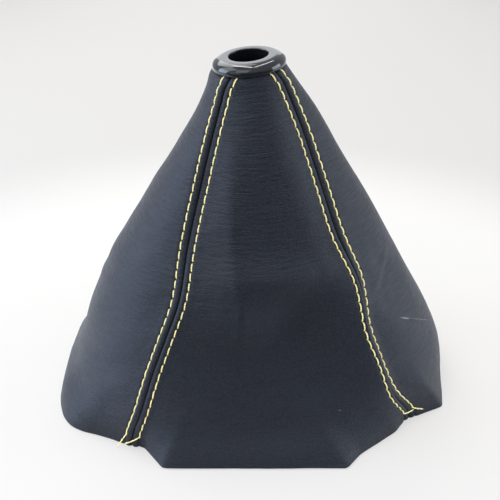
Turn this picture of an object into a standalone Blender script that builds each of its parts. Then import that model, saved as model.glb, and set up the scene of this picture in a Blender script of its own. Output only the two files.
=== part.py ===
"""A gear lever boot: four leather panels sewn edge to edge, gathered into a glossy plastic collar.

Each panel is one sheet, turned back along both seams and top-stitched beside each fold.
The leather's top edge stands in a groove of the collar, where a plain ring clamps it.
X is to the right, Y to the back and Z up. The origin is on the floor, under the middle of the base.
All sizes are in metres and all angles in degrees.
"""

import math

import bmesh
import bpy
import numpy as np
from mathutils import Matrix, Vector

# The leather base
BASE_HALF_WIDTH = 0.130
BASE_HALF_DEPTH = 0.108
TAB_HEIGHT = 0.045
TAB_CORNER_RADIUS = 0.002

# The leather sheet and its seams
LEATHER = 0.0012
FOLD_GAP = 0.0005
SEAM_GAP = 0.0003
SEAM_ALLOWANCE = 0.009
STITCH_INSET = 0.0045

# The thread
THREAD = 0.0008
STITCH_LENGTH = 0.006

# The collar, from its hole outwards
HOLE_RADIUS = 0.012
SLEEVE_WALL = 0.0022
CLAMP_WALL = 0.0016
LIP_WALL = 0.0026
COLLAR_HEIGHT = 0.0062
COLLAR_TOP_WALL = 0.0028
SLEEVE_DROP = 0.0060
RIM_ACROSS = 0.0062
RIM_DOWN = 0.0049
EDGE_ROUND = 0.0005
CLEARANCE = 0.0003

# How the collar stands over the base
COLLAR_TOP = 0.2241
COLLAR_PLACE = (-0.004, -0.003)
COLLAR_LEAN = 5.5
COLLAR_NOD = 2.0
SHOULDER_DROP = 0.0062
SHOULDER_STEP = 0.0020

# Where each seam runs: its bearing round the axis and its reach from it, from the base up to the shoulder.
# Heights are shares of the skirt. Reach is 1 at the base and 0 at the shoulder, where the section is round.
HEIGHTS = (0.0, 0.09, 0.21, 0.33, 0.45, 0.59, 0.75, 0.89, 1.0)
SEAM_REACH_ACROSS = 0.8923 * BASE_HALF_WIDTH
SEAM_REACH_BACK = 1.0741 * BASE_HALF_DEPTH
REACH_SHARES = (1.0, 0.957, 0.870, 0.755, 0.615, 0.446, 0.261, 0.109, 0.0)
SEAM_BEARINGS = {
    "front_left": (228.8, 232.4, 232.6, 234.9, 236.9, 234.0, 231.8, 230.4, 231.6),
    "front_right": (329.4, 320.0, 320.6, 319.3, 323.8, 321.8, 324.9, 327.4, 323.8),
    "rear_right": (402.0, 404.0, 407.0, 409.0, 408.0, 408.0, 410.0, 411.0, 411.0),
    "rear_left": (497.0, 499.0, 501.0, 503.0, 502.0, 502.0, 503.0, 505.0, 508.0),
}

# How far the middle of each panel swells past the round, as a share of its seams' reach.
SWELLS = {
    "front_panel": (-0.10, -0.15, -0.18, -0.21, -0.14, -0.05, 0.00, 0.02, 0.0),
    "right_panel": (0.10, 0.13, 0.155, 0.14, 0.145, 0.17, 0.156, 0.14, 0.0),
    "rear_panel": (-0.08, -0.10, -0.11, -0.10, -0.08, -0.05, -0.02, 0.0, 0.0),
    "left_panel": (0.12, 0.065, 0.045, 0.095, 0.14, 0.165, 0.125, 0.045, 0.05),
}

# The corners of the foot of each panel between its seams, as shares of the base's half width and half depth.
FOOT_CORNERS = {
    "front_panel": ((-0.53, -0.81), (-0.43, -1.0), (0.43, -1.0), (0.5, -0.87), (0.69, -0.66), (0.74, -0.56)),
    "right_panel": ((0.945, -0.43), (0.96, -0.25), (1.0, 0.15), (1.0, 0.50)),
    "rear_panel": ((0.45, 1.0), (-0.43, 1.0)),
    "left_panel": ((-1.0, 0.50), (-1.0, -0.40), (-0.95, -0.58), (-0.87, -0.67), (-0.74, -0.69)),
}

# Where the inner columns of each sheet stand between its seams, with one on every corner of its tab.
COLUMNS = {
    "front_panel": (0.117, 0.34, 0.54, 0.693, 0.80),
    "right_panel": (0.108, 0.26, 0.505, 0.743, 0.87),
    "rear_panel": (0.180, 0.34, 0.50, 0.66, 0.821),
    "left_panel": (0.207, 0.44, 0.678, 0.778, 0.87),
}

# Going round the boot, each panel runs from one seam to the next.
PANEL_SEAMS = {
    "front_panel": ("front_left", "front_right"),
    "right_panel": ("front_right", "rear_right"),
    "rear_panel": ("rear_right", "rear_left"),
    "left_panel": ("rear_left", "front_left"),
}
FULL_TURN = 360.0

# How each row of stitches ends at the foot: its last stitch's way across to the seam and down, in stitches.
TAILS = {
    ("front_panel", "first"): (1.23, 0.37),
    ("front_panel", "second"): (0.93, -0.50),
    ("right_panel", "first"): (-1.17, 0.13),
    ("right_panel", "second"): (0.50, 0.50),
    ("rear_panel", "first"): (-0.50, 0.67),
    ("rear_panel", "second"): (0.50, 0.50),
    ("left_panel", "first"): (-0.50, 0.67),
    ("left_panel", "second"): (-0.80, 1.17),
}

# Soft folds: panel, place across it, share of the height, half sizes, and how far out in units of the dent.
DENT_DEPTH = 0.0085
FOLDS = (
    ("front_panel", 0.61, 0.36, 0.19, 0.13, -1.18),
    ("front_panel", 0.58, 0.55, 0.24, 0.06, 0.53),
    ("front_panel", 0.35, 0.37, 0.10, 0.13, 0.65),
    ("right_panel", 0.20, 0.40, 0.13, 0.08, -0.53),
    ("left_panel", 0.50, 0.47, 0.30, 0.05, 0.24),
)

# Sizes that follow from those above
STACK = 2 * LEATHER + FOLD_GAP
SLEEVE_RADIUS = HOLE_RADIUS + SLEEVE_WALL
CLAMP_INNER = SLEEVE_RADIUS + CLEARANCE
CLAMP_OUTER = CLAMP_INNER + CLAMP_WALL
NECK_RADIUS = CLAMP_OUTER + CLEARANCE + STACK
LIP_INNER = NECK_RADIUS + CLEARANCE
COLLAR_RADIUS = LIP_INNER + LIP_WALL
SHOULDER_RADIUS = COLLAR_RADIUS + SHOULDER_STEP
LIP_FOOT = -COLLAR_HEIGHT
GROOVE_ROOF = -COLLAR_TOP_WALL
SHOULDER_LEVEL = LIP_FOOT - SHOULDER_DROP
SKIRT_HEIGHT = COLLAR_TOP + SHOULDER_LEVEL

# How finely the shapes are cut
SKIRT_ROWS = (-0.03, 0.04, 0.11, 0.19, 0.27, 0.34, 0.41, 0.49, 0.58, 0.68, 0.79, 0.90, 1.0)
ROUND_STEPS = 32
SECTION_SAMPLES = 36


def smooth(places, values, at):
    """A smooth curve through the values at those places, carried on straight past its ends."""
    last = len(places) - 1
    i = min(max(int(np.searchsorted(places, at)) - 1, 0), last - 1)
    slopes = np.gradient(np.array(values), np.array(places))
    step = places[i + 1] - places[i]
    t = (at - places[i]) / step
    if t < 0:
        return values[0] + slopes[0] * (at - places[0])
    if t > 1:
        return values[last] + slopes[last] * (at - places[last])
    rise = (2 * t**3 - 3 * t**2 + 1) * values[i] + (3 * t**2 - 2 * t**3) * values[i + 1]
    return rise + step * ((t**3 - 2 * t**2 + t) * slopes[i] + (t**3 - t**2) * slopes[i + 1])


def turn(share):
    """How far the boot's section leans at a share of its height: level at the base, fully at the collar."""
    part = min(max(share, 0.0), 1.0) ** 2
    lean = Matrix.Rotation(math.radians(-COLLAR_LEAN * part), 3, "Y")
    return Matrix.Rotation(math.radians(COLLAR_NOD * part), 3, "X") @ lean


def axis_point(share):
    """A point on the boot's axis, from the middle of the base up to the shoulder under the collar."""
    below = collar_frame() @ Vector((0, 0, SHOULDER_LEVEL))
    return Vector((below.x * share, below.y * share, below.z * share))


def collar_frame():
    """The collar's own frame: its origin in the middle of its top face, its Z along its hole."""
    place = Matrix.Translation((COLLAR_PLACE[0], COLLAR_PLACE[1], COLLAR_TOP))
    return place @ turn(1.0).to_4x4()


def seam_bearing(seam, share):
    return smooth(HEIGHTS, SEAM_BEARINGS[seam], share)


def seam_reach(share, full_reach):
    return SHOULDER_RADIUS + (full_reach - SHOULDER_RADIUS) * smooth(HEIGHTS, REACH_SHARES, share)


def panel_bearings(panel, share):
    """The bearings of a panel's two seams, the second one counted on from the first."""
    first, second = (seam_bearing(seam, share) for seam in PANEL_SEAMS[panel])
    return first, second + (FULL_TURN if second < first else 0.0)


def round_point(panel, u, share):
    """A point of the boot's swelling round section, where u goes from 0 to 1 between the panel's seams."""
    first, second = panel_bearings(panel, share)
    bearing = math.radians(first + (second - first) * u)
    swell = 1 + smooth(HEIGHTS, SWELLS[panel], share) * (1 - (2 * u - 1) ** 2)
    across, back = seam_reach(share, SEAM_REACH_ACROSS), seam_reach(share, SEAM_REACH_BACK)
    return Vector((across * math.cos(bearing), back * math.sin(bearing), 0)) * float(swell)


def tab_point(panel, u):
    """A point of the panel's foot: straight cuts from one seam to the tab, along it and on to the next."""
    ends = [round_point(panel, end, 0.0) for end in (0, 1)]
    corners = [Vector((x * BASE_HALF_WIDTH, y * BASE_HALF_DEPTH, 0)) for x, y in FOOT_CORNERS[panel]]
    points = [ends[0], *corners, ends[1]]
    lengths = [(b - a).length for a, b in zip(points, points[1:])]
    at = u * sum(lengths)
    for a, b, length in zip(points, points[1:], lengths):
        if at <= length or b is points[-1]:
            return a.lerp(b, at / length)
        at -= length


def rounded_tab_point(panel, u, length):
    """The foot's outline with its corners rounded off, by averaging it over a short way on either side."""
    reach = min(TAB_CORNER_RADIUS / length, u, 1 - u)
    spread = [u + reach * k / 2 for k in (-2, -1, 0, 1, 2)]
    return sum((tab_point(panel, at) for at in spread), Vector()) / len(spread)


def fold_push(panel, u, share):
    """How far the soft folds push the leather out, or in where it is negative."""
    push = 0.0
    for owner, across, up, half_width, half_height, depth in FOLDS:
        if owner == panel:
            away = ((u - across) / half_width) ** 2 + ((share - up) / half_height) ** 2
            push += depth * math.exp(-away)
    return DENT_DEPTH * push * min(1.0, 6 * u, 6 * (1 - u))


def skin_point(panel, u, share, foot_length):
    """A point of the boot's outer surface."""
    flat = round_point(panel, u, share)
    flat *= 1 + fold_push(panel, u, share) / flat.length
    blend = max(0.0, 1 - share * SKIRT_HEIGHT / TAB_HEIGHT) ** 1.5 if share > 0 else 1.0
    if blend > 0:
        flat = flat.lerp(rounded_tab_point(panel, u, foot_length), blend)
        if share < 0:
            flat *= 1 - 0.5 * share * SKIRT_HEIGHT / flat.length
    return axis_point(share) + turn(share) @ flat


def neck_profile():
    """The leather's outer face above the shoulder, as radius and height in the collar's frame."""
    top = GROOVE_ROOF - CLEARANCE
    return (
        (COLLAR_RADIUS + 0.7 * SHOULDER_STEP, LIP_FOOT - 0.38 * SHOULDER_DROP),
        (NECK_RADIUS, LIP_FOOT - CLEARANCE),
        (NECK_RADIUS, top),
    )


def neck_point(panel, u, radius, level):
    """A point of the leather's outer face on a ring round the collar's hole."""
    first, second = panel_bearings(panel, 1.0)
    bearing = math.radians(first + (second - first) * u)
    return collar_frame() @ Vector((radius * math.cos(bearing), radius * math.sin(bearing), level))


class Row:
    """One row of the leather: its outer face from seam to seam, measured along its length."""

    def __init__(self, point_at):
        self.shares = np.linspace(0, 1, SECTION_SAMPLES + 1)
        self.points = [point_at(u) for u in self.shares]
        steps = [(b - a).length for a, b in zip(self.points, self.points[1:])]
        self.along = np.concatenate([[0], np.cumsum(steps)])
        self.length = float(self.along[-1])

    def at(self, distance):
        """The point this far from the first seam."""
        return Vector([np.interp(distance, self.along, [p[k] for p in self.points]) for k in range(3)])


def panel_rows(panel):
    """The rows of a panel from below its foot, where the leather is cut off level, to its top edge."""
    foot = Row(lambda u: tab_point(panel, u)).length
    rows = [Row(lambda u, s=share: skin_point(panel, u, s, foot)) for share in SKIRT_ROWS]
    return rows + [Row(lambda u, r=r, z=z: neck_point(panel, u, r, z)) for r, z in neck_profile()]


def fold_columns():
    """Across the turned edge: how far in from the seam and how deep under the face the sheet lies."""
    middle, tip = LEATHER / 2, SEAM_GAP / 2 + LEATHER / 2
    under = middle + LEATHER + FOLD_GAP
    bend = (under - middle) / 2
    return (
        (SEAM_ALLOWANCE, under),
        (STITCH_INSET, under),
        (tip + bend, under),
        (tip, middle + 1.5 * bend),
        (tip, middle + 0.5 * bend),
        (tip + bend, middle),
        (STITCH_INSET, middle),
        (SEAM_ALLOWANCE, middle),
    )


def seam_rise(rows, j, side):
    """The way a panel's seam runs upwards past row j."""
    end = 0.0 if side == "first" else rows[j].length
    last = len(rows) - 1
    low, high = rows[max(j - 1, 0)], rows[min(j + 1, last)]
    low_end, high_end = (0.0, 0.0) if side == "first" else (low.length, high.length)
    rise = high.at(high_end) - low.at(low_end)
    return rows[j].at(end), rise.normalized()


def seam_directions(panel_rows_by_name):
    """For each seam and row, the outward direction halfway between the two panels that meet there."""
    found = {}
    for seam in SEAM_BEARINGS:
        before = next(rows for name, rows in panel_rows_by_name.items() if PANEL_SEAMS[name][1] == seam)
        after = next(rows for name, rows in panel_rows_by_name.items() if PANEL_SEAMS[name][0] == seam)
        levels = range(len(before))
        pairs = [(outward(before, j, before[j].length), outward(after, j, 0.0)) for j in levels]
        found[seam] = [(a + b).normalized() for a, b in pairs]
    return found


def sheet_row(panel, rows, j, seam_outs):
    """The points of the sheet's middle along row j, from one raw edge round to the other."""
    edge = fold_columns()
    free = rows[j].length - 2 * SEAM_ALLOWANCE
    points = []
    for side, seam in zip(("first", "second"), PANEL_SEAMS[panel]):
        place, rise = seam_rise(rows, j, side)
        out = seam_outs[seam][j]
        inwards = rise.cross(out) * (1 if side == "first" else -1)
        turned_in = []
        for x, depth in edge:
            along = x if side == "first" else rows[j].length - x
            if x < STITCH_INSET:
                turned_in.append(place + x * inwards - depth * out)
            else:
                turned_in.append(rows[j].at(along) - depth * outward(rows, j, along))
        points.append(turned_in)
    inner = [SEAM_ALLOWANCE + share * free for share in COLUMNS[panel]]
    middle = [rows[j].at(x) - LEATHER / 2 * outward(rows, j, x) for x in inner]
    return points[0] + middle + points[1][::-1]


def outward(rows, j, distance):
    """The outer face's direction at a distance along row j."""
    lower, upper = rows[max(j - 1, 0)], rows[min(j + 1, len(rows) - 1)]
    share = distance / rows[j].length
    rise = upper.at(share * upper.length) - lower.at(share * lower.length)
    step = 0.01 * rows[j].length
    middle = share * rows[j].length
    along = rows[j].at(min(middle + step, rows[j].length)) - rows[j].at(max(middle - step, 0.0))
    return along.cross(rise).normalized()


def new_object(name, mesh, material, collection):
    made = bpy.data.objects.new(name, mesh)
    mesh.materials.append(material)
    collection.objects.link(made)
    return made


def finish(name, colour, roughness):
    """A material of one colour."""
    made = bpy.data.materials.new(name)
    made.use_nodes = True
    shader = made.node_tree.nodes["Principled BSDF"]
    shader.inputs["Base Color"].default_value = (*colour, 1)
    shader.inputs["Roughness"].default_value = roughness
    shader.inputs["Metallic"].default_value = 0.0
    return made


def leather_panel(panel, rows, seam_outs, material, collection, floor):
    """One panel: an open sheet with turned edges, given its thickness and then cut level at the floor."""
    sheet = bmesh.new()
    grid = [[sheet.verts.new(p) for p in sheet_row(panel, rows, j, seam_outs)] for j in range(len(rows))]
    for low, high in zip(grid, grid[1:]):
        for a, b, c, d in zip(low, low[1:], high[1:], high):
            sheet.faces.new((a, b, c, d))
    mesh = bpy.data.meshes.new(panel)
    sheet.to_mesh(mesh)
    sheet.free()
    made = new_object(panel, mesh, material, collection)
    wall = made.modifiers.new("leather thickness", "SOLIDIFY")
    wall.thickness = LEATHER
    wall.offset = 0.0
    wall.use_even_offset = True
    cut = made.modifiers.new("level foot", "BOOLEAN")
    cut.object = floor
    cut.operation = "DIFFERENCE"
    cut.solver = "EXACT"
    cut.use_self = True
    return made


def floor_cutter(collection):
    """A block under the floor, which cuts the panels' feet level."""
    bpy.ops.mesh.primitive_cube_add(size=1)
    block = bpy.context.object
    block.name = "floor_cutter"
    block.data.transform(Matrix.Diagonal((6 * BASE_HALF_WIDTH, 6 * BASE_HALF_DEPTH, TAB_HEIGHT, 1)))
    block.data.transform(Matrix.Translation((0, 0, -TAB_HEIGHT / 2)))
    for owner in list(block.users_collection):
        owner.objects.unlink(block)
    collection.objects.link(block)
    block.hide_render = True
    block.display_type = "WIRE"
    return block


def stitch_line(rows, side):
    """The line of a row of stitches up the outer face, and the outward directions along it."""
    levels = range(1, len(SKIRT_ROWS) + 1)
    places = [STITCH_INSET if side == "first" else rows[j].length - STITCH_INSET for j in levels]
    points = [rows[j].at(x) for j, x in zip(levels, places)]
    return points, [outward(rows, j, x) for j, x in zip(levels, places)]


def along_line(points, lifts, distance):
    """The point and outward direction this far along a line."""
    steps = [(b - a).length for a, b in zip(points, points[1:])]
    for a, b, u, v, length in zip(points, points[1:], lifts, lifts[1:], steps):
        if distance <= length:
            return a.lerp(b, distance / length), u.lerp(v, distance / length).normalized()
        distance -= length
    return points[-1].copy(), lifts[-1].copy()


def thread_row(name, rows, side, tail, material, collection):
    """A row of stitches: one thread that swells along each stitch and narrows at each needle hole."""
    points, lifts = stitch_line(rows, side)
    length = sum((b - a).length for a, b in zip(points, points[1:]))
    count = round(length / STITCH_LENGTH)
    lift = CLEARANCE + THREAD / 2
    up = (points[1] - points[0]).normalized()
    to_seam = up.cross(lifts[0]) * (-1 if side == "first" else 1)
    tail_end = points[0] + STITCH_LENGTH * (tail[0] * to_seam - tail[1] * up)
    spots = [(tail_end + 2.2 * lift * lifts[0], 0.9)]
    for k in range(2 * count):
        place, out = along_line(points, lifts, (k + 0.1) * length / (2 * count))
        thick = 1.0 if k % 2 else 0.55
        spots.append((place + lift * out, thick))
    curve = bpy.data.curves.new(name, "CURVE")
    curve.dimensions = "3D"
    curve.bevel_depth = THREAD / 2
    curve.bevel_resolution = 0
    curve.use_fill_caps = True
    spline = curve.splines.new("POLY")
    spline.points.add(len(spots) - 1)
    for spot, (place, thick) in zip(spline.points, spots):
        spot.co = (*place, 1)
        spot.radius = thick
    made = bpy.data.objects.new(name, curve)
    curve.materials.append(material)
    collection.objects.link(made)
    return made


def turned(name, profile, material, collection):
    """A ring turned about the collar's hole from a closed outline of radius and height."""
    sheet = bmesh.new()
    loop = [sheet.verts.new((radius, 0, level)) for radius, level in profile]
    for a, b in zip(loop, loop[1:] + loop[:1]):
        sheet.edges.new((a, b))
    mesh = bpy.data.meshes.new(name)
    sheet.to_mesh(mesh)
    sheet.free()
    made = new_object(name, mesh, material, collection)
    made.matrix_world = collar_frame()
    screw = made.modifiers.new("turned", "SCREW")
    screw.axis = "Z"
    screw.steps = screw.render_steps = ROUND_STEPS
    screw.use_merge_vertices = True
    screw.merge_threshold = 0.00001
    return made


def arc(centre, across, down, start, end, steps):
    """Points of a quarter round on a turned outline, which may be wider than it is deep."""
    angles = [math.radians(start + (end - start) * k / steps) for k in range(steps + 1)]
    return [(centre[0] + across * math.cos(a), centre[1] + down * math.sin(a)) for a in angles]


def collar_outline():
    """The collar's section: a round rim, a lip, a groove for the leather, and a sleeve round the hole."""
    rim = arc((COLLAR_RADIUS - RIM_ACROSS, -RIM_DOWN), RIM_ACROSS, RIM_DOWN, 90, 0, 5)
    foot = arc((COLLAR_RADIUS - EDGE_ROUND, LIP_FOOT + EDGE_ROUND), EDGE_ROUND, EDGE_ROUND, 0, -90, 2)
    sleeve_foot = GROOVE_ROOF - SLEEVE_DROP
    return [
        *rim,
        *foot,
        (LIP_INNER, LIP_FOOT),
        (LIP_INNER, GROOVE_ROOF),
        (SLEEVE_RADIUS, GROOVE_ROOF),
        (SLEEVE_RADIUS, sleeve_foot),
        (HOLE_RADIUS, sleeve_foot),
        *arc((HOLE_RADIUS + EDGE_ROUND, -EDGE_ROUND), EDGE_ROUND, EDGE_ROUND, 180, 90, 2),
    ]


def clamp_outline():
    """The clamp ring's section: a plain band, chamfered where it is pushed up into the groove."""
    top, foot = GROOVE_ROOF - CLEARANCE, GROOVE_ROOF - SLEEVE_DROP
    chamfer = 0.3 * CLAMP_WALL
    return [
        (CLAMP_OUTER - chamfer, top),
        (CLAMP_OUTER, top - chamfer),
        (CLAMP_OUTER, foot),
        (CLAMP_INNER, foot),
        (CLAMP_INNER, top),
    ]


def clear_scene():
    for obj in list(bpy.data.objects):
        bpy.data.objects.remove(obj)


def main():
    clear_scene()
    boot = bpy.data.collections.new("gear_lever_boot")
    cutters = bpy.data.collections.new("cutters")
    bpy.context.scene.collection.children.link(boot)
    bpy.context.scene.collection.children.link(cutters)
    leather = finish("leather", (0.030, 0.032, 0.038), 0.55)
    thread = finish("thread", (0.80, 0.76, 0.22), 0.60)
    gloss = finish("gloss plastic", (0.012, 0.013, 0.015), 0.12)
    matt = finish("matt plastic", (0.030, 0.030, 0.032), 0.50)
    floor = floor_cutter(cutters)
    rows_by_panel = {panel: panel_rows(panel) for panel in PANEL_SEAMS}
    seam_outs = seam_directions(rows_by_panel)
    for panel, seams in PANEL_SEAMS.items():
        rows = rows_by_panel[panel]
        leather_panel(panel, rows, seam_outs, leather, boot, floor)
        for side, seam in zip(("first", "second"), seams):
            name = f"{seam}_stitches_{panel.split('_')[0]}"
            thread_row(name, rows, side, TAILS[panel, side], thread, boot)
    turned("collar", collar_outline(), gloss, boot)
    turned("clamp_ring", clamp_outline(), matt, boot)


main()
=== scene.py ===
"""A leather gear lever boot with a glossy collar, standing on a pale table."""

import math

import bpy
import numpy as np
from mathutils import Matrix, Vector


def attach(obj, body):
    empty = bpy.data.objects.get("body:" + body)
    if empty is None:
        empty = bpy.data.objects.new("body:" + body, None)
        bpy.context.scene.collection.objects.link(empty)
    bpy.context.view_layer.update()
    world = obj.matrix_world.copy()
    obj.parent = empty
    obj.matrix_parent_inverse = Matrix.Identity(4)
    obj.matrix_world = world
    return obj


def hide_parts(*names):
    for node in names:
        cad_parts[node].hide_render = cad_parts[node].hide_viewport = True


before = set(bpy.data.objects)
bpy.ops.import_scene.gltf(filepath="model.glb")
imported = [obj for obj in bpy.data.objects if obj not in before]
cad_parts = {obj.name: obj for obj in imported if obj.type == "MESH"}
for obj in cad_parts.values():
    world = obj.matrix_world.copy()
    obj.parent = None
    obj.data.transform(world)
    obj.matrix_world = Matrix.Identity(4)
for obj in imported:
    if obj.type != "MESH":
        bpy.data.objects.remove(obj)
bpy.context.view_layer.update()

# Leather panels
# Four panels of soft black leather cloth, each cut as a tapering sheet with a wide foot.
# Both long edges of a panel are turned back on themselves before it is sewn to its neighbours,
# so the boot takes its shape from the curve of the seams and from the way the cloth swells.

HALF_WIDTH, HALF_DEPTH = 0.130, 0.108
COLLAR_TOP = np.array([-0.004, -0.003, 0.2241])
COLLAR_LEAN, COLLAR_NOD = 5.5, 2.0
SHOULDER_RADIUS, SHOULDER_DROP = 0.0242, 0.0124
SHOULDER_HEIGHT = COLLAR_TOP[2] - SHOULDER_DROP
SEAM_REACH = 0.116

# The seams in plan, from the foot up to the shoulder: share of the height, reach and bearings.
HEIGHTS = np.array([0.0, 0.09, 0.21, 0.33, 0.45, 0.59, 0.75, 0.89, 1.0])
REACHES = (1.0, 0.957, 0.870, 0.755, 0.615, 0.446, 0.261, 0.109, 0.0)
BEARINGS = {
    "front_left": (228.8, 232.4, 232.6, 234.9, 236.9, 234.0, 231.8, 230.4, 231.6),
    "front_right": (329.4, 320.0, 320.6, 319.3, 323.8, 321.8, 324.9, 327.4, 323.8),
    "rear_right": (402.0, 404.0, 407.0, 409.0, 408.0, 408.0, 410.0, 411.0, 411.0),
    "rear_left": (497.0, 499.0, 501.0, 503.0, 502.0, 502.0, 503.0, 505.0, 508.0),
}
PANEL_SEAMS = {
    "front_panel": ("front_left", "front_right"),
    "right_panel": ("front_right", "rear_right"),
    "rear_panel": ("rear_right", "rear_left"),
    "left_panel": ("rear_left", "front_left"),
}
# How far each panel swells past the arc between its seams, as a share of their reach.
SWELLS = {
    "front_panel": (-0.10, -0.15, -0.18, -0.21, -0.14, -0.05, 0.00, 0.02, 0.0),
    "right_panel": (0.10, 0.127, 0.151, 0.134, 0.145, 0.167, 0.162, 0.145, 0.0),
    "rear_panel": (-0.08, -0.10, -0.11, -0.10, -0.08, -0.05, -0.02, 0.0, 0.0),
    "left_panel": (0.12, 0.065, 0.085, 0.118, 0.136, 0.160, 0.125, 0.045, 0.0),
}
# The side panels run flat for a way beside their front seams.
RIGHT_FLATNESS, LEFT_FLATNESS = 0.8, 0.6
LEFT_FLAT_HEIGHT, LEFT_FLAT_SPREAD = 0.38, 0.14

# Each tab's corners on the table, as shares of the half width and the half depth.
FOOT_CORNERS = {
    "front_panel": (
        (-0.53, -0.815),
        (-0.43, -1.01),
        (0.43, -1.01),
        (0.50, -0.885),
        (0.69, -0.675),
        (0.74, -0.57),
    ),
    "right_panel": ((0.951, -0.435), (0.972, -0.25), (1.01, 0.15), (1.01, 0.50)),
    "rear_panel": ((0.45, 1.0), (-0.43, 1.0)),
    "left_panel": ((-1.0, 0.50), (-1.0, -0.35), (-0.94, -0.57), (-0.87, -0.67), (-0.75, -0.71)),
}
CORNER_SOFTNESS = {"front_panel": 0.002, "right_panel": 0.002, "rear_panel": 0.002, "left_panel": 0.008}
FOOT_FLARE_HEIGHT, FLARE_BEND, FRONT_TAB_BEND = 0.045, 1.5, 4.8

# Soft dents and swellings: place across, share of the height, half sizes and how far out.
DENTS = {
    "front_panel": (
        (0.66, 0.37, 0.18, 0.09, -0.0030),
        (0.60, 0.24, 0.24, 0.12, -0.0045),
        (0.52, 0.510, 0.26, 0.055, 0.0070),
    ),
    "right_panel": ((0.27, 0.37, 0.12, 0.07, -0.0020),),
    "rear_panel": (),
    "left_panel": ((0.50, 0.47, 0.30, 0.05, 0.0020),),
}
DENT_MARGIN = 1 / 6

# How far a seam's strip is turned away from the front, as the height of the roll beside it.
SEAM_ROLLS = {
    "front_left": (0.0, 0.0, 0.0, 0.0, 0.0, -0.0006, -0.0012, -0.0012, -0.0006),
    "front_right": (0.0022, 0.0024, 0.0030, 0.0027, 0.0010, -0.0006, -0.0010, -0.0010, -0.0006),
}
ROLL_WIDTH = 0.007

# The leather bulges on the left, where the leaning collar presses on it.
BULGE, BULGE_LEVEL, BULGE_BEARING = 0.0021, -0.0093, 0.1
BULGE_ABOVE, BULGE_BELOW = 0.0031, 0.0036

# The gathered top edge, as radius and level under the collar's top.
NECK = np.array(
    [
        (SHOULDER_RADIUS, -SHOULDER_DROP),
        (0.02355, -0.0110),
        (0.0229, -0.0096),
        (0.0223, -0.0083),
        (0.0217, -0.0073),
        (0.0209, -0.0067),
        (0.0200, -0.0063),
        (0.0194, -0.0054),
        (0.0193, -0.0031),
    ]
)
# Where the seams end under the collar: the front ones draw together there.
NECK_BEARINGS = {"front_left": 238.4, "front_right": 317.8, "rear_right": 411.0, "rear_left": 508.0}

# The grid that each face is worked out on: rows up the skirt and the neck, and points across.
SKIRT_ROWS, NECK_ROWS, ACROSS = 200, 20, 241
# How many rows either side of the shoulder are rounded over, how fully and how many times.
SHOULDER_ROWS, SHOULDER_FULLNESS, SHOULDER_ROUNDS = 9, 1.4, 24


def bell(x, middle, width):
    """1 at the middle, falling away smoothly on both sides."""
    return np.exp(-(((x - middle) / width) ** 2))


def climb(x, middle, width):
    """Climbs smoothly from 0 to 1 across the middle."""
    return 1 / (1 + np.exp(-(x - middle) / width))


def run_of(points):
    """How far along its line each point lies."""
    return np.concatenate([[0], np.cumsum(np.linalg.norm(np.diff(points, axis=0), axis=1))])


def on_line(points, along, at):
    """The places at set distances along a line."""
    return np.stack([np.interp(at, along, values) for values in points.T], -1)


def unit(vectors):
    return vectors / np.linalg.norm(vectors, axis=-1, keepdims=True)


def along_heights(values, share):
    """Runs smoothly through one value for each of the heights."""
    values = np.asarray(values, float)
    slopes = np.gradient(values, HEIGHTS)
    i = np.clip(np.searchsorted(HEIGHTS, share) - 1, 0, len(HEIGHTS) - 2)
    step = HEIGHTS[i + 1] - HEIGHTS[i]
    t = (share - HEIGHTS[i]) / step
    rise = (2 * t**3 - 3 * t**2 + 1) * values[i] + (3 * t**2 - 2 * t**3) * values[i + 1]
    return rise + step * ((t**3 - 2 * t**2 + t) * slopes[i] + (t**3 - t**2) * slopes[i + 1])


def lean(points, share):
    """Tips level sections over with the collar, fully at the top and not at all at the foot."""
    a = np.radians(-COLLAR_LEAN * share**2)
    b = np.radians(COLLAR_NOD * share**2)
    x, y, z = points[..., 0], points[..., 1], points[..., 2]
    x, z = x * np.cos(a) + z * np.sin(a), z * np.cos(a) - x * np.sin(a)
    y, z = y * np.cos(b) - z * np.sin(b), y * np.sin(b) + z * np.cos(b)
    return np.stack([x, y, z], -1)


def panel_bearings(panel, share):
    first, second = (along_heights(BEARINGS[seam], share) for seam in PANEL_SEAMS[panel])
    return np.radians(first), np.radians(second + 360 * (second < first))


def seam_reach(share):
    return SHOULDER_RADIUS + (SEAM_REACH - SHOULDER_RADIUS) * along_heights(REACHES, share)


def level_section(panel, u, share):
    """The swelling curve between a panel's two seams, at each height."""
    first, second = panel_bearings(panel, share)
    bearing = first + (second - first) * u
    flatness = {
        "right_panel": RIGHT_FLATNESS,
        "left_panel": LEFT_FLATNESS * bell(share, LEFT_FLAT_HEIGHT, LEFT_FLAT_SPREAD),
    }.get(panel, 0.0)
    fullness = (4 * u * (1 - u)) ** (1 + flatness)
    reach = (1 + along_heights(SWELLS[panel], share) * fullness) * seam_reach(share)
    return np.stack([reach * np.cos(bearing), reach * np.sin(bearing), 0 * bearing], -1)


def seam_roll(panel, u, share):
    """The swelling and hollow on either side of a seam whose strip is turned sideways."""
    first, second = panel_bearings(panel, share)
    wide = (second - first) * seam_reach(share)
    sign = 1 if panel == "front_panel" else -1
    total = np.zeros_like(u)
    for from_seam, seam in zip((u, 1 - u), PANEL_SEAMS[panel]):
        if seam in SEAM_ROLLS:
            away = wide * from_seam / ROLL_WIDTH
            total = total + sign * along_heights(SEAM_ROLLS[seam], share) * away * np.exp(1 - away)
    return total


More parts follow.
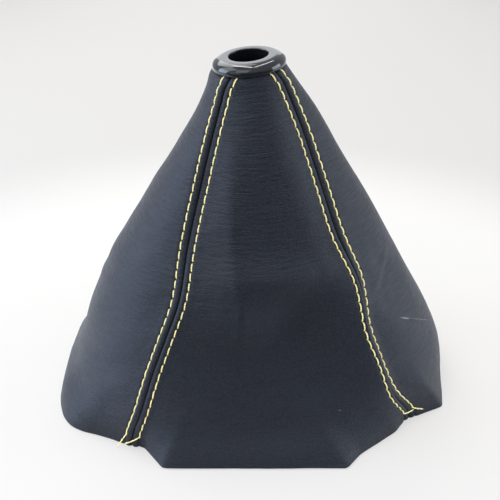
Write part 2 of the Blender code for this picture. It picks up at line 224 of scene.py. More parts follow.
def foot_outline(panel, u):
    """The cut foot: from seam to seam round the softened corners of the tab."""
    ends = level_section(panel, np.array([0.0, 1.0]), np.zeros(2))[:, :2]
    corners = [(x * HALF_WIDTH, y * HALF_DEPTH) for x, y in FOOT_CORNERS[panel]]
    points = np.array([ends[0], *corners, ends[1]])
    along = run_of(points)
    reach = np.minimum(np.minimum(CORNER_SOFTNESS[panel] / along[-1], u), 1 - u)
    steps = (-1, -0.5, 0, 0.5, 1)
    flat = sum(on_line(points, along, (u + reach * step) * along[-1]) for step in steps) / len(steps)
    return np.concatenate([flat, np.zeros(flat.shape[:-1] + (1,))], -1)


def pressed(bearing, level):
    """How far the leather bulges out on the left under the leaning collar."""
    above = 1 - ((level - BULGE_LEVEL) / BULGE_ABOVE) ** 2
    fullness = np.where(level > BULGE_LEVEL, above, bell(level, BULGE_LEVEL, BULGE_BELOW))
    return BULGE * np.clip(-np.cos(bearing - BULGE_BEARING), 0, 1) ** 1.5 * np.clip(fullness, 0, 1)


def skirt(panel, u, share):
    """The boot's outer face from the foot up to the shoulder under the collar."""
    flat = level_section(panel, u, share)
    push = np.zeros_like(u)
    for across, up, wide, tall, depth in DENTS[panel]:
        push = push + depth * bell(u, across, wide) * bell(share, up, tall)
    push = push * np.minimum(1, np.minimum(u, 1 - u) / DENT_MARGIN) + seam_roll(panel, u, share)
    first, second = panel_bearings(panel, share)
    push = push + pressed(first + (second - first) * u, -SHOULDER_DROP - (1 - share) * SHOULDER_HEIGHT)
    flat = flat * (1 + push / np.linalg.norm(flat, axis=-1))[..., None]
    bend = FLARE_BEND + (FRONT_TAB_BEND if panel == "front_panel" else 0) * u * (1 - u)
    blend = (np.clip(1 - share * SHOULDER_HEIGHT / FOOT_FLARE_HEIGHT, 0, None) ** bend)[..., None]
    flat = flat * (1 - blend) + foot_outline(panel, u) * blend
    shoulder = COLLAR_TOP + lean(np.array([0, 0, -SHOULDER_DROP]), np.float64(1.0))
    return share[..., None] * shoulder + lean(flat, share)


def neck(panel, u, rise):
    """The leather's top edge, gathered in under the collar and up into its groove."""
    along = run_of(NECK)
    place = on_line(NECK, along, rise * along[-1])
    radius, level = place[..., 0], place[..., 1]
    turn = np.clip(2 * rise, 0, 1)
    turn = turn * (1.5 - 0.5 * turn)
    first, second = (
        BEARINGS[seam][-1] + (NECK_BEARINGS[seam] - BEARINGS[seam][-1]) * turn for seam in PANEL_SEAMS[panel]
    )
    second = second + 360 * (second < first)
    bearing = np.radians(first + (second - first) * u)
    radius = radius + pressed(bearing, level)
    ring = np.stack([radius * np.cos(bearing), radius * np.sin(bearing), level], -1)
    return COLLAR_TOP + lean(ring, np.ones_like(radius))


def outer_face(panel):
    """A close grid of points on a panel's outer face, from seam to seam and from foot to top edge."""
    u = np.linspace(0, 1, ACROSS)
    low = skirt(panel, *np.meshgrid(u, np.linspace(0, 1, SKIRT_ROWS)))
    high = neck(panel, *np.meshgrid(u, np.linspace(0, 1, NECK_ROWS + 1)[1:]))
    grid = np.concatenate([low, high])
    # The cloth rolls over softly where the skirt meets the neck.
    rows_away = np.abs(np.arange(len(grid)) - SKIRT_ROWS - 1)
    near = np.clip(SHOULDER_FULLNESS - rows_away / SHOULDER_ROWS, 0, 1)[1:-1, None, None]
    for _ in range(SHOULDER_ROUNDS):
        grid[1:-1] += near * (grid[:-2] + grid[2:] - 2 * grid[1:-1]) / 4
    return grid


def facing(grid):
    """The outward direction at every point of a grid."""
    return unit(np.cross(np.gradient(grid, axis=1), np.gradient(grid, axis=0)))


faces_of = {panel: outer_face(panel) for panel in PANEL_SEAMS}
outs_of = {panel: facing(grid) for panel, grid in faces_of.items()}
seam_outs = {}
for seam in BEARINGS:
    before = next(panel for panel, seams in PANEL_SEAMS.items() if seams[1] == seam)
    after = next(panel for panel, seams in PANEL_SEAMS.items() if seams[0] == seam)
    seam_outs[seam] = unit(outs_of[before][:, -1] + outs_of[after][:, 0])


def waves(x, y, seed, sizes, count):
    """A gentle random unevenness, the same each time for one seed."""
    rng = np.random.default_rng(seed)
    total = np.zeros_like(x)
    for _ in range(count):
        angle = rng.uniform(0, math.pi)
        size = rng.uniform(*sizes)
        phase = rng.uniform(0, 2 * math.pi)
        total += np.sin(2 * math.pi * (x * math.cos(angle) + y * math.sin(angle)) / size + phase)
    return total / count


# Soft swellings of a panel: how far out, share of the height, slant, half height, place, half width.
TAB_SPLAY = (-0.0018, 0.085, 0.0, 0.045, 0.50, 0.35)
LEFT_TUCK = (-0.0020, 0.10, 0.0, 0.05, 0.78, 0.22)
LEFT_RIDGE = (0.0010, 0.40, 0.10, 0.025, 0.55, 0.25)
REAR_RIDGE = (0.0015, 0.38, 0.25, 0.035, 0.55, 0.22)


def swelling(u, share, out, height, slant, tall, place, wide):
    return out * bell(share - slant * (u - 0.5), height, tall) * bell(u, place, wide)


# The front panel's upright crease, left of its middle: share of the height and place across.
CREASE_HEIGHTS = (0.30, 0.374, 0.465, 0.53, 0.60, 0.67, 0.77, 0.90)
CREASE_PLACES = (0.368, 0.342, 0.317, 0.305, 0.298, 0.285, 0.255, 0.15)
CREASE_FOOT, CREASE_FOOT_EASE, CREASE_HEAD, CREASE_HEAD_EASE = 0.305, 0.020, 0.80, 0.07
CREASE_RAISED, CREASE_DROPPED = 0.0025, 0.0060
# How far across the panel the raised edge reaches to the left, and the drop and the way back to the right.
RAISED_REACH, DROPPED_REACH, CREASE_REACH = 0.13, 0.20, 0.38
# Higher up the crease is softer and drops further.
CREASE_SOFTNESS, UPPER_SOFTNESS, SOFTER_FROM = 0.012, 0.08, 0.42
UPPER_DROP, UPPER_DROP_FROM, UPPER_DROP_EASE = 0.0035, 0.44, 0.1
# The pocket is the deepest place, low down beside the crease.
POCKET_HEIGHT, POCKET_SPREAD = 0.385, 0.085
POCKET_RAISED, POCKET_DROPPED, POCKET_REACH = 0.0050, 0.0065, 0.05


def front_folds(u, share):
    """The cloth turns its edge out at the crease and then drops back to the right, most at the pocket."""
    beside = u - np.interp(share, CREASE_HEIGHTS, CREASE_PLACES)
    apart = np.hypot(beside, CREASE_SOFTNESS + UPPER_SOFTNESS * np.clip(share - SOFTER_FROM, 0, 1))
    left, right = (apart - beside) / 2, (apart + beside) / 2
    pocket = bell(share, POCKET_HEIGHT, POCKET_SPREAD)
    raised = (CREASE_RAISED + POCKET_RAISED * pocket) * np.exp(-left / RAISED_REACH)
    upper = UPPER_DROP * np.clip((share - UPPER_DROP_FROM) / UPPER_DROP_EASE, 0, 1)
    deepest = CREASE_DROPPED + upper + POCKET_DROPPED * pocket
    dropped = deepest * (1 - np.exp(-right / (DROPPED_REACH + POCKET_REACH * pocket)))
    length = climb(share, CREASE_FOOT, CREASE_FOOT_EASE) * (1 - climb(share, CREASE_HEAD, CREASE_HEAD_EASE))
    # The tab splays out a little where it meets the table.
    return (raised - dropped) * bell(right, 0, CREASE_REACH) * length + swelling(u, share, *TAB_SPLAY)


# The right panel's slanting crease, on a cut of this size: where it starts, its direction and its length.
SIDE_WIDE, SIDE_LONG = 0.110, 0.235
SLANT_START, SLANT_WAY, SLANT_LENGTH = (0.0039, 0.0909), (0.834, 0.552), 0.042
SLANT_START_EASE, SLANT_END_EASE = 0.008, 0.018
SLANT_RIDGE, SLANT_RIDGE_WIDTH = 0.0017, 0.0032
SLANT_VALLEY, VALLEY_SOFTNESS, VALLEY_ABOVE, VALLEY_BELOW = 0.0034, 0.0012, 0.010, 0.020


def right_folds(u, share):
    """A slanting crease runs up and back from the seam's knee, with a sharp ridge in a soft valley."""
    across, up = SIDE_WIDE * u - SLANT_START[0], SIDE_LONG * share - SLANT_START[1]
    along = SLANT_WAY[0] * across + SLANT_WAY[1] * up
    beside = SLANT_WAY[1] * across - SLANT_WAY[0] * up
    ends = np.clip(along / SLANT_START_EASE, 0, 1) * np.clip((SLANT_LENGTH - along) / SLANT_END_EASE, 0, 1)
    width = np.where(beside < 0, VALLEY_ABOVE, VALLEY_BELOW)
    valley = SLANT_VALLEY * np.exp(-np.hypot(beside, VALLEY_SOFTNESS) / width)
    return (SLANT_RIDGE * bell(beside, 0, SLANT_RIDGE_WIDTH) - valley) * ends


def rear_folds(u, share):
    """One soft ridge slants across the middle."""
    return swelling(u, share, *REAR_RIDGE)


def left_folds(u, share):
    """The foot tucks in beside the front seam, and one soft ridge crosses the middle."""
    return swelling(u, share, *LEFT_TUCK) + swelling(u, share, *LEFT_RIDGE)


FOLDS = {
    "front_panel": front_folds,
    "right_panel": right_folds,
    "rear_panel": rear_folds,
    "left_panel": left_folds,
}

# How thick the leather is, how far its edges are turned back and how far in the needle goes.
LEATHER_THICKNESS, TURNED_BACK, STITCH_INSET = 0.0012, 0.009, 0.0045
# The grid's rows between which the seams are topstitched.
STITCH_PITCH, FIRST_SEWN, LAST_SEWN = 0.006, 7, 211
# The turned edge's fold: how deep its middle lies, its radius and how far from the seam its tip stands.
FOLD_MIDDLE, FOLD_RADIUS, FOLD_TIP, FOLD_STEPS = 0.00145, 0.00085, 0.00061, 8
# The sheet's points from the seam inwards, as distance and depth: first round the turned edge.
turned_in = [(x, FOLD_MIDDLE + FOLD_RADIUS) for x in (TURNED_BACK, 0.0065, STITCH_INSET, 0.0030)]
for step in range(FOLD_STEPS + 1):
    angle = math.pi * (1 - step / FOLD_STEPS)
    x = FOLD_TIP + FOLD_RADIUS * (1 - math.sin(angle))
    turned_in.append((x, FOLD_MIDDLE - FOLD_RADIUS * math.cos(angle)))
# Then along the panel, closest about the stitches.
EDGE_COLUMNS = (
    *(0.0021, 0.0026, 0.0031, 0.0036, 0.0040, STITCH_INSET, 0.0050),
    *(0.0055, 0.0061, 0.0068, 0.0076, 0.0085, 0.0097, 0.0110),
)
MIDDLE_COLUMNS = 72
# Where the sheet stops standing square to the seam, and where its waves and its folds set in.
SQUARE_FROM_SEAM, SQUARE_EASE = 0.0017, 0.0035
WAVES_FROM_SEAM, WAVES_EASE = 0.002, 0.012
FOLDS_FROM_SEAM, FOLDS_EASE = 0.006, 0.02

# Unevenness of the whole sheet: height, range of sizes, seed and number of waves.
SHEET_WAVES = ((0.00045, (0.028, 0.060), 11, 7), (0.00012, (0.009, 0.016), 5, 9))
# The line that the thread draws into the sheet, deeper at its holes, and the ridges beside it.
THREAD_LINE, NEEDLE_HOLE, THREAD_LINE_WIDTH = 0.00028, 0.00040, 0.00075
SEAM_RIDGES = ((0.0026, 0.0010, 0.00028), (0.0068, 0.0016, 0.00012))
PUCKER, PUCKER_LENGTH, PUCKER_PLACE, PUCKER_WIDTH = 0.00012, 0.0135, 0.0080, 0.0050
PUCKER_DRIFT, PUCKER_DRIFT_RATE = 1.7, 190
# The sheet's marks go on for this many rows up the neck, and then fade out over as many.
NECK_FADE_ROWS = 6


def sample(rows, along, at):
    """Reads a grid of points at set distances along each of its rows."""
    return np.stack([on_line(*row) for row in zip(rows, along, at)])


def stitch_phase(grid, along, at):
    """Counts the stitches up a seam: a whole number at each needle hole."""
    rise = run_of(sample(grid, along, at[:, None])[:, 0])
    sewn = rise[LAST_SEWN] - rise[FIRST_SEWN]
    return (rise - rise[FIRST_SEWN]) / sewn * round(sewn / STITCH_PITCH)


def cut_columns(length):
    """How far across each row the sheet's points lie, and how deep under its outer face."""
    near = np.tile([x for x, _ in turned_in] + list(EDGE_COLUMNS), (len(length), 1))
    middle = np.linspace(0, 1, MIDDLE_COLUMNS + 2)[1:-1] * (length - 2 * EDGE_COLUMNS[-1])
    x = np.concatenate([near, EDGE_COLUMNS[-1] + middle, length - near[:, ::-1]], axis=1)
    edge = [depth for _, depth in turned_in]
    flat = [LEATHER_THICKNESS / 2] * (2 * len(EDGE_COLUMNS) + MIDDLE_COLUMNS)
    return x, np.tile(edge + flat + edge[::-1], (len(length), 1))


def square_to_seams(panel, x, length, points, out):
    """Beside a seam both neighbours turn in square to the line that halves them."""
    for side, seam in enumerate(PANEL_SEAMS[panel]):
        from_seam = x if side == 0 else length - x
        place = faces_of[panel][:, 0 if side == 0 else -1]
        shared = seam_outs[seam]
        inwards = np.cross(unit(np.gradient(place, axis=0)), shared) * (1 if side == 0 else -1)
        square = place[:, None] + from_seam[..., None] * inwards[:, None]
        keep = np.clip((from_seam - SQUARE_FROM_SEAM) / SQUARE_EASE, 0, 1)
        keep = (keep * keep * (3 - 2 * keep))[..., None]
        points = keep * points + (1 - keep) * square
        out = keep * out + (1 - keep) * shared[:, None]
    return points, unit(out)


def relief(panel, x, u, up, share, from_seam, phase):
    """How far the face stands out or in, by its folds, its unevenness and the marks of its seams."""
    push = FOLDS[panel](u, share) * np.clip((from_seam - FOLDS_FROM_SEAM) / FOLDS_EASE, 0, 1)
    body = np.clip((from_seam - WAVES_FROM_SEAM) / WAVES_EASE, 0, 1)
    for height, sizes, seed, count in SHEET_WAVES:
        push += height * waves(x, up, seed + len(panel), sizes, count) * body
    holes = 0.5 + 0.5 * np.cos(2 * math.pi * phase)
    push -= (THREAD_LINE + NEEDLE_HOLE * holes) * bell(from_seam, STITCH_INSET, THREAD_LINE_WIDTH)
    for place, width, height in SEAM_RIDGES:
        push += height * bell(from_seam, place, width)
    seam_up = phase * STITCH_PITCH
    drift = PUCKER_DRIFT * np.sin(seam_up * PUCKER_DRIFT_RATE)
    puckers = np.sin(2 * math.pi * seam_up / PUCKER_LENGTH + drift)
    return push + PUCKER * puckers * bell(from_seam, PUCKER_PLACE, PUCKER_WIDTH)


def sheet_points(panel):
    """A panel's mid-sheet and outer face, the way out at each point, and its place on the flat cut."""
    grid = faces_of[panel]
    along = np.stack([run_of(row) for row in grid])
    length = along[:, -1:]
    rows = np.arange(len(grid))[:, None]
    share = np.minimum(rows / (SKIRT_ROWS - 1), 1.0)
    on_neck = np.clip((rows - SKIRT_ROWS - NECK_FADE_ROWS) / NECK_FADE_ROWS, 0, 1)
    x, depth = cut_columns(length)
    points, out = sample(grid, along, x), unit(sample(outs_of[panel], along, x))
    points, out = square_to_seams(panel, x, length, points, out)

    u = x / length
    steps = np.linalg.norm(np.diff(grid, axis=0), axis=2).mean(axis=1)
    up = np.broadcast_to(np.concatenate([[0], np.cumsum(steps)])[:, None], u.shape)
    first_phase = stitch_phase(grid, along, np.full(len(grid), STITCH_INSET))
    second_phase = stitch_phase(grid, along, length[:, 0] - STITCH_INSET)
    phase = np.where(u < 0.5, first_phase[:, None], second_phase[:, None])
    push = relief(panel, x, u, up, share, np.minimum(x, length - x), phase) * (1 - on_neck)
    # The turned-back layer follows the face inwards but not outwards.
    push = np.where(depth > FOLD_MIDDLE, np.minimum(push, 0), push)
    surface = points + push[..., None] * out
    return surface - depth[..., None] * out, surface, out, x - length / 2, up


def new_piece(name, mesh):
    made = bpy.data.objects.new(name, mesh)
    bpy.context.scene.collection.objects.link(made)
    return made


def make_plain(piece):
    """Turns a piece and its modifiers into one plain mesh."""
    bpy.context.view_layer.update()
    plain = bpy.data.meshes.new_from_object(piece.evaluated_get(bpy.context.evaluated_depsgraph_get()))
    piece.modifiers.clear()
    piece.data = plain
    return plain


def plug(tree, socket, value):
    """Links an input to another node's socket, or sets its value."""
    if isinstance(value, bpy.types.NodeSocket):
        tree.links.new(value, socket)
    else:
        socket.default_value = value


def node(tree, kind, **settings):
    """Adds a node with its own settings (props) and its inputs, by name or as _ and their number."""
    made = tree.nodes.new(kind)
    for key, value in settings.pop("props", {}).items():
        setattr(made, key, value)
    for key, value in settings.items():
        name = int(key[1:]) if key.startswith("_") else key.replace("_", " ")
        plug(tree, made.inputs[name], value)
    return made


def maths(tree, operation, a, b=0.0):
    return node(tree, "ShaderNodeMath", props={"operation": operation}, _0=a, _1=b).outputs[0]


def noise(tree, place, scale, detail, **more):
    """A cloudy pattern: its first output is a number, and its Color three unlike numbers."""
    return node(tree, "ShaderNodeTexNoise", Vector=place, Scale=scale, Detail=detail, **more).outputs


def mapped(tree, place, **more):
    return node(tree, "ShaderNodeMapping", Vector=place, **more).outputs[0]


def ranged(tree, value, start, stop, low=0.0, high=1.0, **more):
    """Spreads the numbers from start to stop over low to high, and holds the rest at the ends."""
    ends = {"From_Min": start, "From_Max": stop, "To_Min": low, "To_Max": high}
    return node(tree, "ShaderNodeMapRange", Value=value, **ends, **more).outputs[0]


def blend(tree, share, first, second, kind="MIX"):
    """Goes from the first colour to the second as the share goes from 0 to 1."""
    settings = {"data_type": "RGBA", "blend_type": kind}
    return node(tree, "ShaderNodeMix", props=settings, _0=share, _6=first, _7=second).outputs[2]


def bump(tree, height, strength, distance, **under):
    made = node(tree, "ShaderNodeBump", Height=height, Strength=strength, Distance=distance, **under)
    return made.outputs[0]


def shader_of(name):
    """A new material, its tree and its Principled shader."""
    made = bpy.data.materials.new(name)
    made.use_nodes = True
    return made, made.node_tree, made.node_tree.nodes["Principled BSDF"]


def finish(tree, shader, **looks):
    for name, value in looks.items():
        plug(tree, shader.inputs[name.replace("_", " ")], value)


# Patterns to the metre across and up the cut, and colours.
PEBBLES, LINES, STIR, DRIFT, PORES = (420.0, 1150.0, 1.0), (85.0, 520.0, 1.0), 420.0, 38.0, 3200.0
GRAIN_VALLEY, GRAIN_TOP = (0.0050, 0.0058, 0.0090, 1), (0.0130, 0.0160, 0.0265, 1)
LEATHER_REFLECTION = (0.80, 0.87, 1.0, 1)
PALE_MARK_GREY = (0.55, 0.56, 0.60, 1)
KNIT_SHADOW, KNIT_GREY = (0.030, 0.031, 0.034, 1), (0.085, 0.087, 0.092, 1)
FIBRE_DARK, FIBRE_PALE = (0.012, 0.013, 0.016, 1), (0.060, 0.062, 0.068, 1)


def pale_marked(tree, place, colour, at, turn, size, strength):
    """Lays a pale broken mark over the colour: its place and size are metres on the flat cut."""
    scale, turned = (*size, 1), (0, 0, turn)
    settings = {"vector_type": "TEXTURE"}
    spot = mapped(tree, place, props=settings, Location=(*at, 0), Rotation=turned, Scale=scale)
    away = node(tree, "ShaderNodeVectorMath", props={"operation": "LENGTH"}, _0=spot).outputs["Value"]
    broken = ranged(tree, noise(tree, spot, 3.1, 5.0)[0], 0.40, 0.62)
    share = maths(tree, "MULTIPLY", ranged(tree, away, 1.0, 0.35), broken)
    return blend(tree, maths(tree, "MULTIPLY", share, strength), colour, PALE_MARK_GREY)


def leather(name, marks=()):
    """Leather cloth with a fine pebbled grain and lines drawn out sideways, stronger towards the collar."""
    made, tree, shader = shader_of(name)
    place = node(tree, "ShaderNodeUVMap", props={"uv_map": "cut"}).outputs[0]
    stir = noise(tree, place, STIR, 2.0)["Color"]
    stirred = node(tree, "ShaderNodeMix", props={"data_type": "VECTOR"}, _0=0.0007, _4=place, _5=stir)
    uneven = stirred.outputs[1]
    wide_grain = mapped(tree, uneven, Scale=PEBBLES)
    pebbles = node(
        tree, "ShaderNodeTexVoronoi", props={"feature": "DISTANCE_TO_EDGE"}, Vector=wide_grain, Scale=1.0
    )
    tops = ranged(tree, pebbles.outputs[0], 0.0, 0.28)
    lines = noise(tree, mapped(tree, uneven, Scale=LINES), 1.0, 4.0, Roughness=0.6)[0]
    pores = noise(tree, place, PORES, 1.0)[0]
    drift = noise(tree, place, DRIFT, 3.0)["Color"]

    colour = blend(tree, 0.35, blend(tree, tops, GRAIN_VALLEY, GRAIN_TOP), drift, "MULTIPLY")
    for mark in marks:
        colour = pale_marked(tree, place, colour, *mark)
    height = node(tree, "ShaderNodeSeparateXYZ", _0=place).outputs["Y"]
    grain = bump(tree, tops, 0.7, 0.00016)
    drawn = bump(tree, lines, ranged(tree, height, 0.05, 0.14, 0.3, 1.0), 0.00080, Normal=grain)
    finish(
        tree,
        shader,
        Base_Color=colour,
        Roughness=ranged(tree, lines, 0.3, 0.7, 0.47, 0.60),
        Specular_IOR_Level=0.5,
        Specular_Tint=LEATHER_REFLECTION,
        Sheen_Weight=0.06,
        Sheen_Roughness=0.4,
        Normal=bump(tree, pores, 0.25, 0.00003, Normal=drawn),
    )
    return made


def knit_backing():
    """The grey knitted cloth that the leather's face is laid on, seen inside the boot."""
    made, tree, shader = shader_of("knit backing")
    place = node(tree, "ShaderNodeUVMap", props={"uv_map": "cut"}).outputs[0]
    wale, course = (
        node(
            tree,
            "ShaderNodeTexWave",
            props={"bands_direction": way},
            Vector=place,
            Scale=scale,
            Distortion=wobble,
            Detail=1.0,
        ).outputs[1]
        for way, scale, wobble in (("X", 260.0, 1.2), ("Y", 330.0, 1.5))
    )
    loops = maths(tree, "MULTIPLY", wale, course)
    fuzz = noise(tree, place, 1500.0, 3.0)[0]
    finish(
        tree,
        shader,
        Base_Color=blend(tree, loops, KNIT_SHADOW, KNIT_GREY),
        Roughness=0.92,
        Sheen_Weight=0.25,
        Normal=bump(tree, fuzz, 0.4, 0.0001, Normal=bump(tree, loops, 0.6, 0.0002)),
    )
    return made


def cut_edge():
    """The raw edge, where the black face shows its pressed fibre."""
    made, tree, shader = shader_of("cut edge")
    place = node(tree, "ShaderNodeTexCoord").outputs["Object"]
    fibre = noise(tree, place, 2200.0, 4.0)[0]
    colour = blend(tree, fibre, FIBRE_DARK, FIBRE_PALE)
    finish(tree, shader, Base_Color=colour, Roughness=0.85, Normal=bump(tree, fibre, 0.5, 0.0001))
    return made


backing, raw_edge = knit_backing(), cut_edge()
# Marks on the leather: place and turn on the flat cut, half sizes and strength.
DUST_SPECK = ((0.0417, 0.0315), -0.5, (0.0012, 0.0006), 0.35)
# A pale broken streak laid into the right panel's colour, in two parts.
PALE_STREAK_HEAD = ((-0.0462, 0.0698), -0.58, (0.0054, 0.0009), 0.80)
PALE_STREAK_TRAIL = ((-0.0320, 0.0602), -0.61, (0.0150, 0.0007), 0.36)
leathers = {
    "front_panel": leather("front leather", [DUST_SPECK]),
    "right_panel": leather("right leather", [PALE_STREAK_HEAD, PALE_STREAK_TRAIL]),
    "rear_panel": leather("rear leather"),
    "left_panel": leather("left leather"),
}
# The middle of the sheet stays this far above the table at the foot.
TABLE_GAP = 0.0002

stitch_seats = {}
for panel, (first_seam, second_seam) in PANEL_SEAMS.items():
    sheet, surface, out, cut_x, cut_y = sheet_points(panel)
    sheet[..., 2] = np.maximum(sheet[..., 2], TABLE_GAP)
    rows, columns = sheet.shape[:2]
    index = np.arange(rows * columns).reshape(rows, columns)
    quads = np.stack([index[:-1, :-1], index[:-1, 1:], index[1:, 1:], index[1:, :-1]], -1).reshape(-1, 4)
    mesh = bpy.data.meshes.new(panel + "_leather")
    mesh.from_pydata(sheet.reshape(-1, 3).tolist(), [], quads.tolist())
    cut = mesh.uv_layers.new(name="cut")
    corner = np.array([loop.vertex_index for loop in mesh.loops])
    cut.data.foreach_set("uv", np.stack([cut_x, cut_y], -1).reshape(-1, 2)[corner].ravel())
    piece = new_piece(panel + "_leather", mesh)
    for material in (leathers[panel], backing, raw_edge):
        mesh.materials.append(material)
    wall = piece.modifiers.new("leather thickness", "SOLIDIFY")
    wall.thickness = LEATHER_THICKNESS
    wall.offset = 0.0
    wall.material_offset = 1
    wall.material_offset_rim = 2
    solid = make_plain(piece)
    for vertex in solid.vertices:
        vertex.co.z = max(vertex.co.z, 0.0)
    solid.shade_smooth()
    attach(piece, "root")
    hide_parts(panel)
    column = len(turned_in) + EDGE_COLUMNS.index(STITCH_INSET)
    stitch_seats[panel] = {
        first_seam: (surface[:, column], out[:, column]),
        second_seam: (surface[:, columns - 1 - column], out[:, columns - 1 - column]),
    }

# Topstitching
# Thick pale yellow thread in two plies, sewn by machine through the leather and its turned-back edge.
# One row runs down each side of every seam, a stitch every 6 mm, and the last stitch of each row
# is a loose end that crosses the seam or trails out over the leather.

THREAD_WIDTH, STITCH_LENGTH, STITCH_BOW, STITCH_TWISTS, STITCH_SLANT = 0.00100, 0.0051, 0.0007, 2.2, 0.07
# Each ply's radius and how far it lies from the thread's middle, as shares of the thread's width.
PLY_RADIUS, PLY_ASIDE = 0.31, 0.22
THREAD_LIFT, TAIL_LIFT, TAIL_STRETCH = 0.35 * THREAD_WIDTH, 0.0011, 1.08
# Each loose end's run in stitches: towards the seam, down the row and out from the leather.
TAILS = {
    "front_left_stitches_front": (1.23, 1.15, 0),
    "front_right_stitches_front": (1.30, 1.20, 0),
    "front_right_stitches_right": (-0.85, 1.45, 0),
    "rear_right_stitches_right": (0.50, 0.50, 0),
    "rear_right_stitches_rear": (-0.50, 0.67, 0),
    "rear_left_stitches_rear": (0.50, 0.50, 0),
    "rear_left_stitches_left": (-0.50, 0.67, 0),
    "front_left_stitches_left": (-0.27, 1.18, 0.62),
}
THREAD_DEEP, THREAD_PALE = (0.98, 0.84, 0.26, 1), (1.0, 0.94, 0.60, 1)


def twisted_thread():
    """Pale yellow polyester, glossy on its plies and finely varied in tone, with a painted glow in its own
    colour that makes it brighter than its light.
    """
    made, tree, shader = shader_of("yellow thread")
    place = node(tree, "ShaderNodeTexCoord").outputs["Object"]
    fibres = noise(tree, place, 2600.0, 4.0)[0]
    shade = noise(tree, place, 90.0, 2.0)["Color"]
    colour = blend(tree, 0.2, blend(tree, fibres, THREAD_DEEP, THREAD_PALE), shade, "MULTIPLY")
    finish(
        tree,
        shader,
        Base_Color=colour,
        # painted glow: the thread gives off a little light in its own colour, though it is no lamp
        Emission_Color=colour,
        Emission_Strength=0.28,
        Roughness=0.42,
        Sheen_Weight=0.2,
        Normal=bump(tree, fibres, 0.5, 0.00008),
    )
    return made


def stitch_tree(material):
    """One stitch of two twisted plies, laid at every seat and turned to lie along its row."""
    tree = bpy.data.node_groups.new("row of stitches", "GeometryNodeTree")
    face = tree.interface
    face.new_socket("Geometry", in_out="INPUT", socket_type="NodeSocketGeometry")
    sizes = {
        "Stitch length": STITCH_LENGTH,
        "Thread width": THREAD_WIDTH,
        "Bow": STITCH_BOW,
        "Twists": STITCH_TWISTS,
        "Slant": STITCH_SLANT,
    }
    for name, value in sizes.items():
        face.new_socket(name, in_out="INPUT", socket_type="NodeSocketFloat").default_value = value
    face.new_socket("Seed", in_out="INPUT", socket_type="NodeSocketInt").default_value = 3
    face.new_socket("Geometry", in_out="OUTPUT", socket_type="NodeSocketGeometry")
    given = tree.nodes.new("NodeGroupInput").outputs
    result = tree.nodes.new("NodeGroupOutput")

    def times(a, b):
        return maths(tree, "MULTIPLY", a, b)

    def at(**place):
        return node(tree, "ShaderNodeCombineXYZ", **place).outputs[0]

    def held(kind, name):
        return node(tree, "GeometryNodeInputNamedAttribute", props={"data_type": kind}, Name=name).outputs[0]

    half, dip = times(given["Stitch length"], 0.5), times(given["Bow"], -0.9)
    path = node(
        tree,
        "GeometryNodeCurvePrimitiveBezierSegment",
        Resolution=9,
        Start=at(X=times(half, -1.0), Z=dip),
        Start_Handle=at(X=times(half, -0.80), Z=given["Bow"]),
        End_Handle=at(X=times(half, 0.80), Z=given["Bow"]),
        End=at(X=half, Z=dip),
    )
    share = tree.nodes.new("GeometryNodeSplineParameter").outputs["Factor"]
    turns = times(times(share, given["Twists"]), 2 * math.pi)
    twisted = node(tree, "GeometryNodeSetCurveTilt", Curve=path.outputs[0], Tilt=turns)
    ply_radius = times(given["Thread width"], PLY_RADIUS)
    ply = node(tree, "GeometryNodeCurvePrimitiveCircle", Resolution=6, Radius=ply_radius)
    section = tree.nodes.new("GeometryNodeJoinGeometry")
    for aside in (PLY_ASIDE, -PLY_ASIDE):
        place = at(X=times(given["Thread width"], aside))
        moved = node(tree, "GeometryNodeTransform", Geometry=ply.outputs[0], Translation=place)
        tree.links.new(moved.outputs[0], section.inputs[0])
    plies = {"Curve": twisted.outputs[0], "Profile_Curve": section.outputs[0]}
    stitch = node(tree, "GeometryNodeCurveToMesh", **plies, Fill_Caps=True)

    laid = node(
        tree, "FunctionNodeAlignRotationToVector", props={"axis": "X"}, Vector=held("FLOAT_VECTOR", "along")
    )
    upright = node(
        tree,
        "FunctionNodeAlignRotationToVector",
        props={"axis": "Z", "pivot_axis": "X"},
        Rotation=laid.outputs[0],
        Vector=held("FLOAT_VECTOR", "outwards"),
    )
    sway = node(
        tree, "FunctionNodeRandomValue", props={"data_type": "FLOAT"}, _2=-0.05, _3=0.05, Seed=given["Seed"]
    )
    slanted = maths(tree, "ADD", given["Slant"], sway.outputs[1])
    spin = node(tree, "FunctionNodeAxisAngleToRotation", Axis=(0, 0, 1), Angle=slanted)
    turned = node(
        tree,
        "FunctionNodeRotateRotation",
        props={"rotation_space": "LOCAL"},
        _0=upright.outputs[0],
        _1=spin.outputs[0],
    )
    seats = node(tree, "GeometryNodeMeshToPoints", Mesh=given["Geometry"])
    rows = node(
        tree,
        "GeometryNodeInstanceOnPoints",
        Points=seats.outputs[0],
        Instance=stitch.outputs[0],
        Rotation=turned.outputs[0],
        Scale=at(X=held("FLOAT", "stretch"), Y=1.0, Z=1.0),
    )
    real = node(tree, "GeometryNodeRealizeInstances", Geometry=rows.outputs[0])
    smooth = node(tree, "GeometryNodeSetShadeSmooth", Geometry=real.outputs[0])
    finished = node(tree, "GeometryNodeSetMaterial", Geometry=smooth.outputs[0], Material=material)
    tree.links.new(finished.outputs[0], result.inputs[0])
    return tree


def hold(mesh, name, kind, values):
    """Keeps a value for each seat on the mesh, where the stitch tree reads it."""
    attribute = mesh.attributes.new(name, kind, "POINT")
    field = "vector" if kind == "FLOAT_VECTOR" else "value"
    attribute.data.foreach_set(field, np.asarray(values, np.float32).ravel())


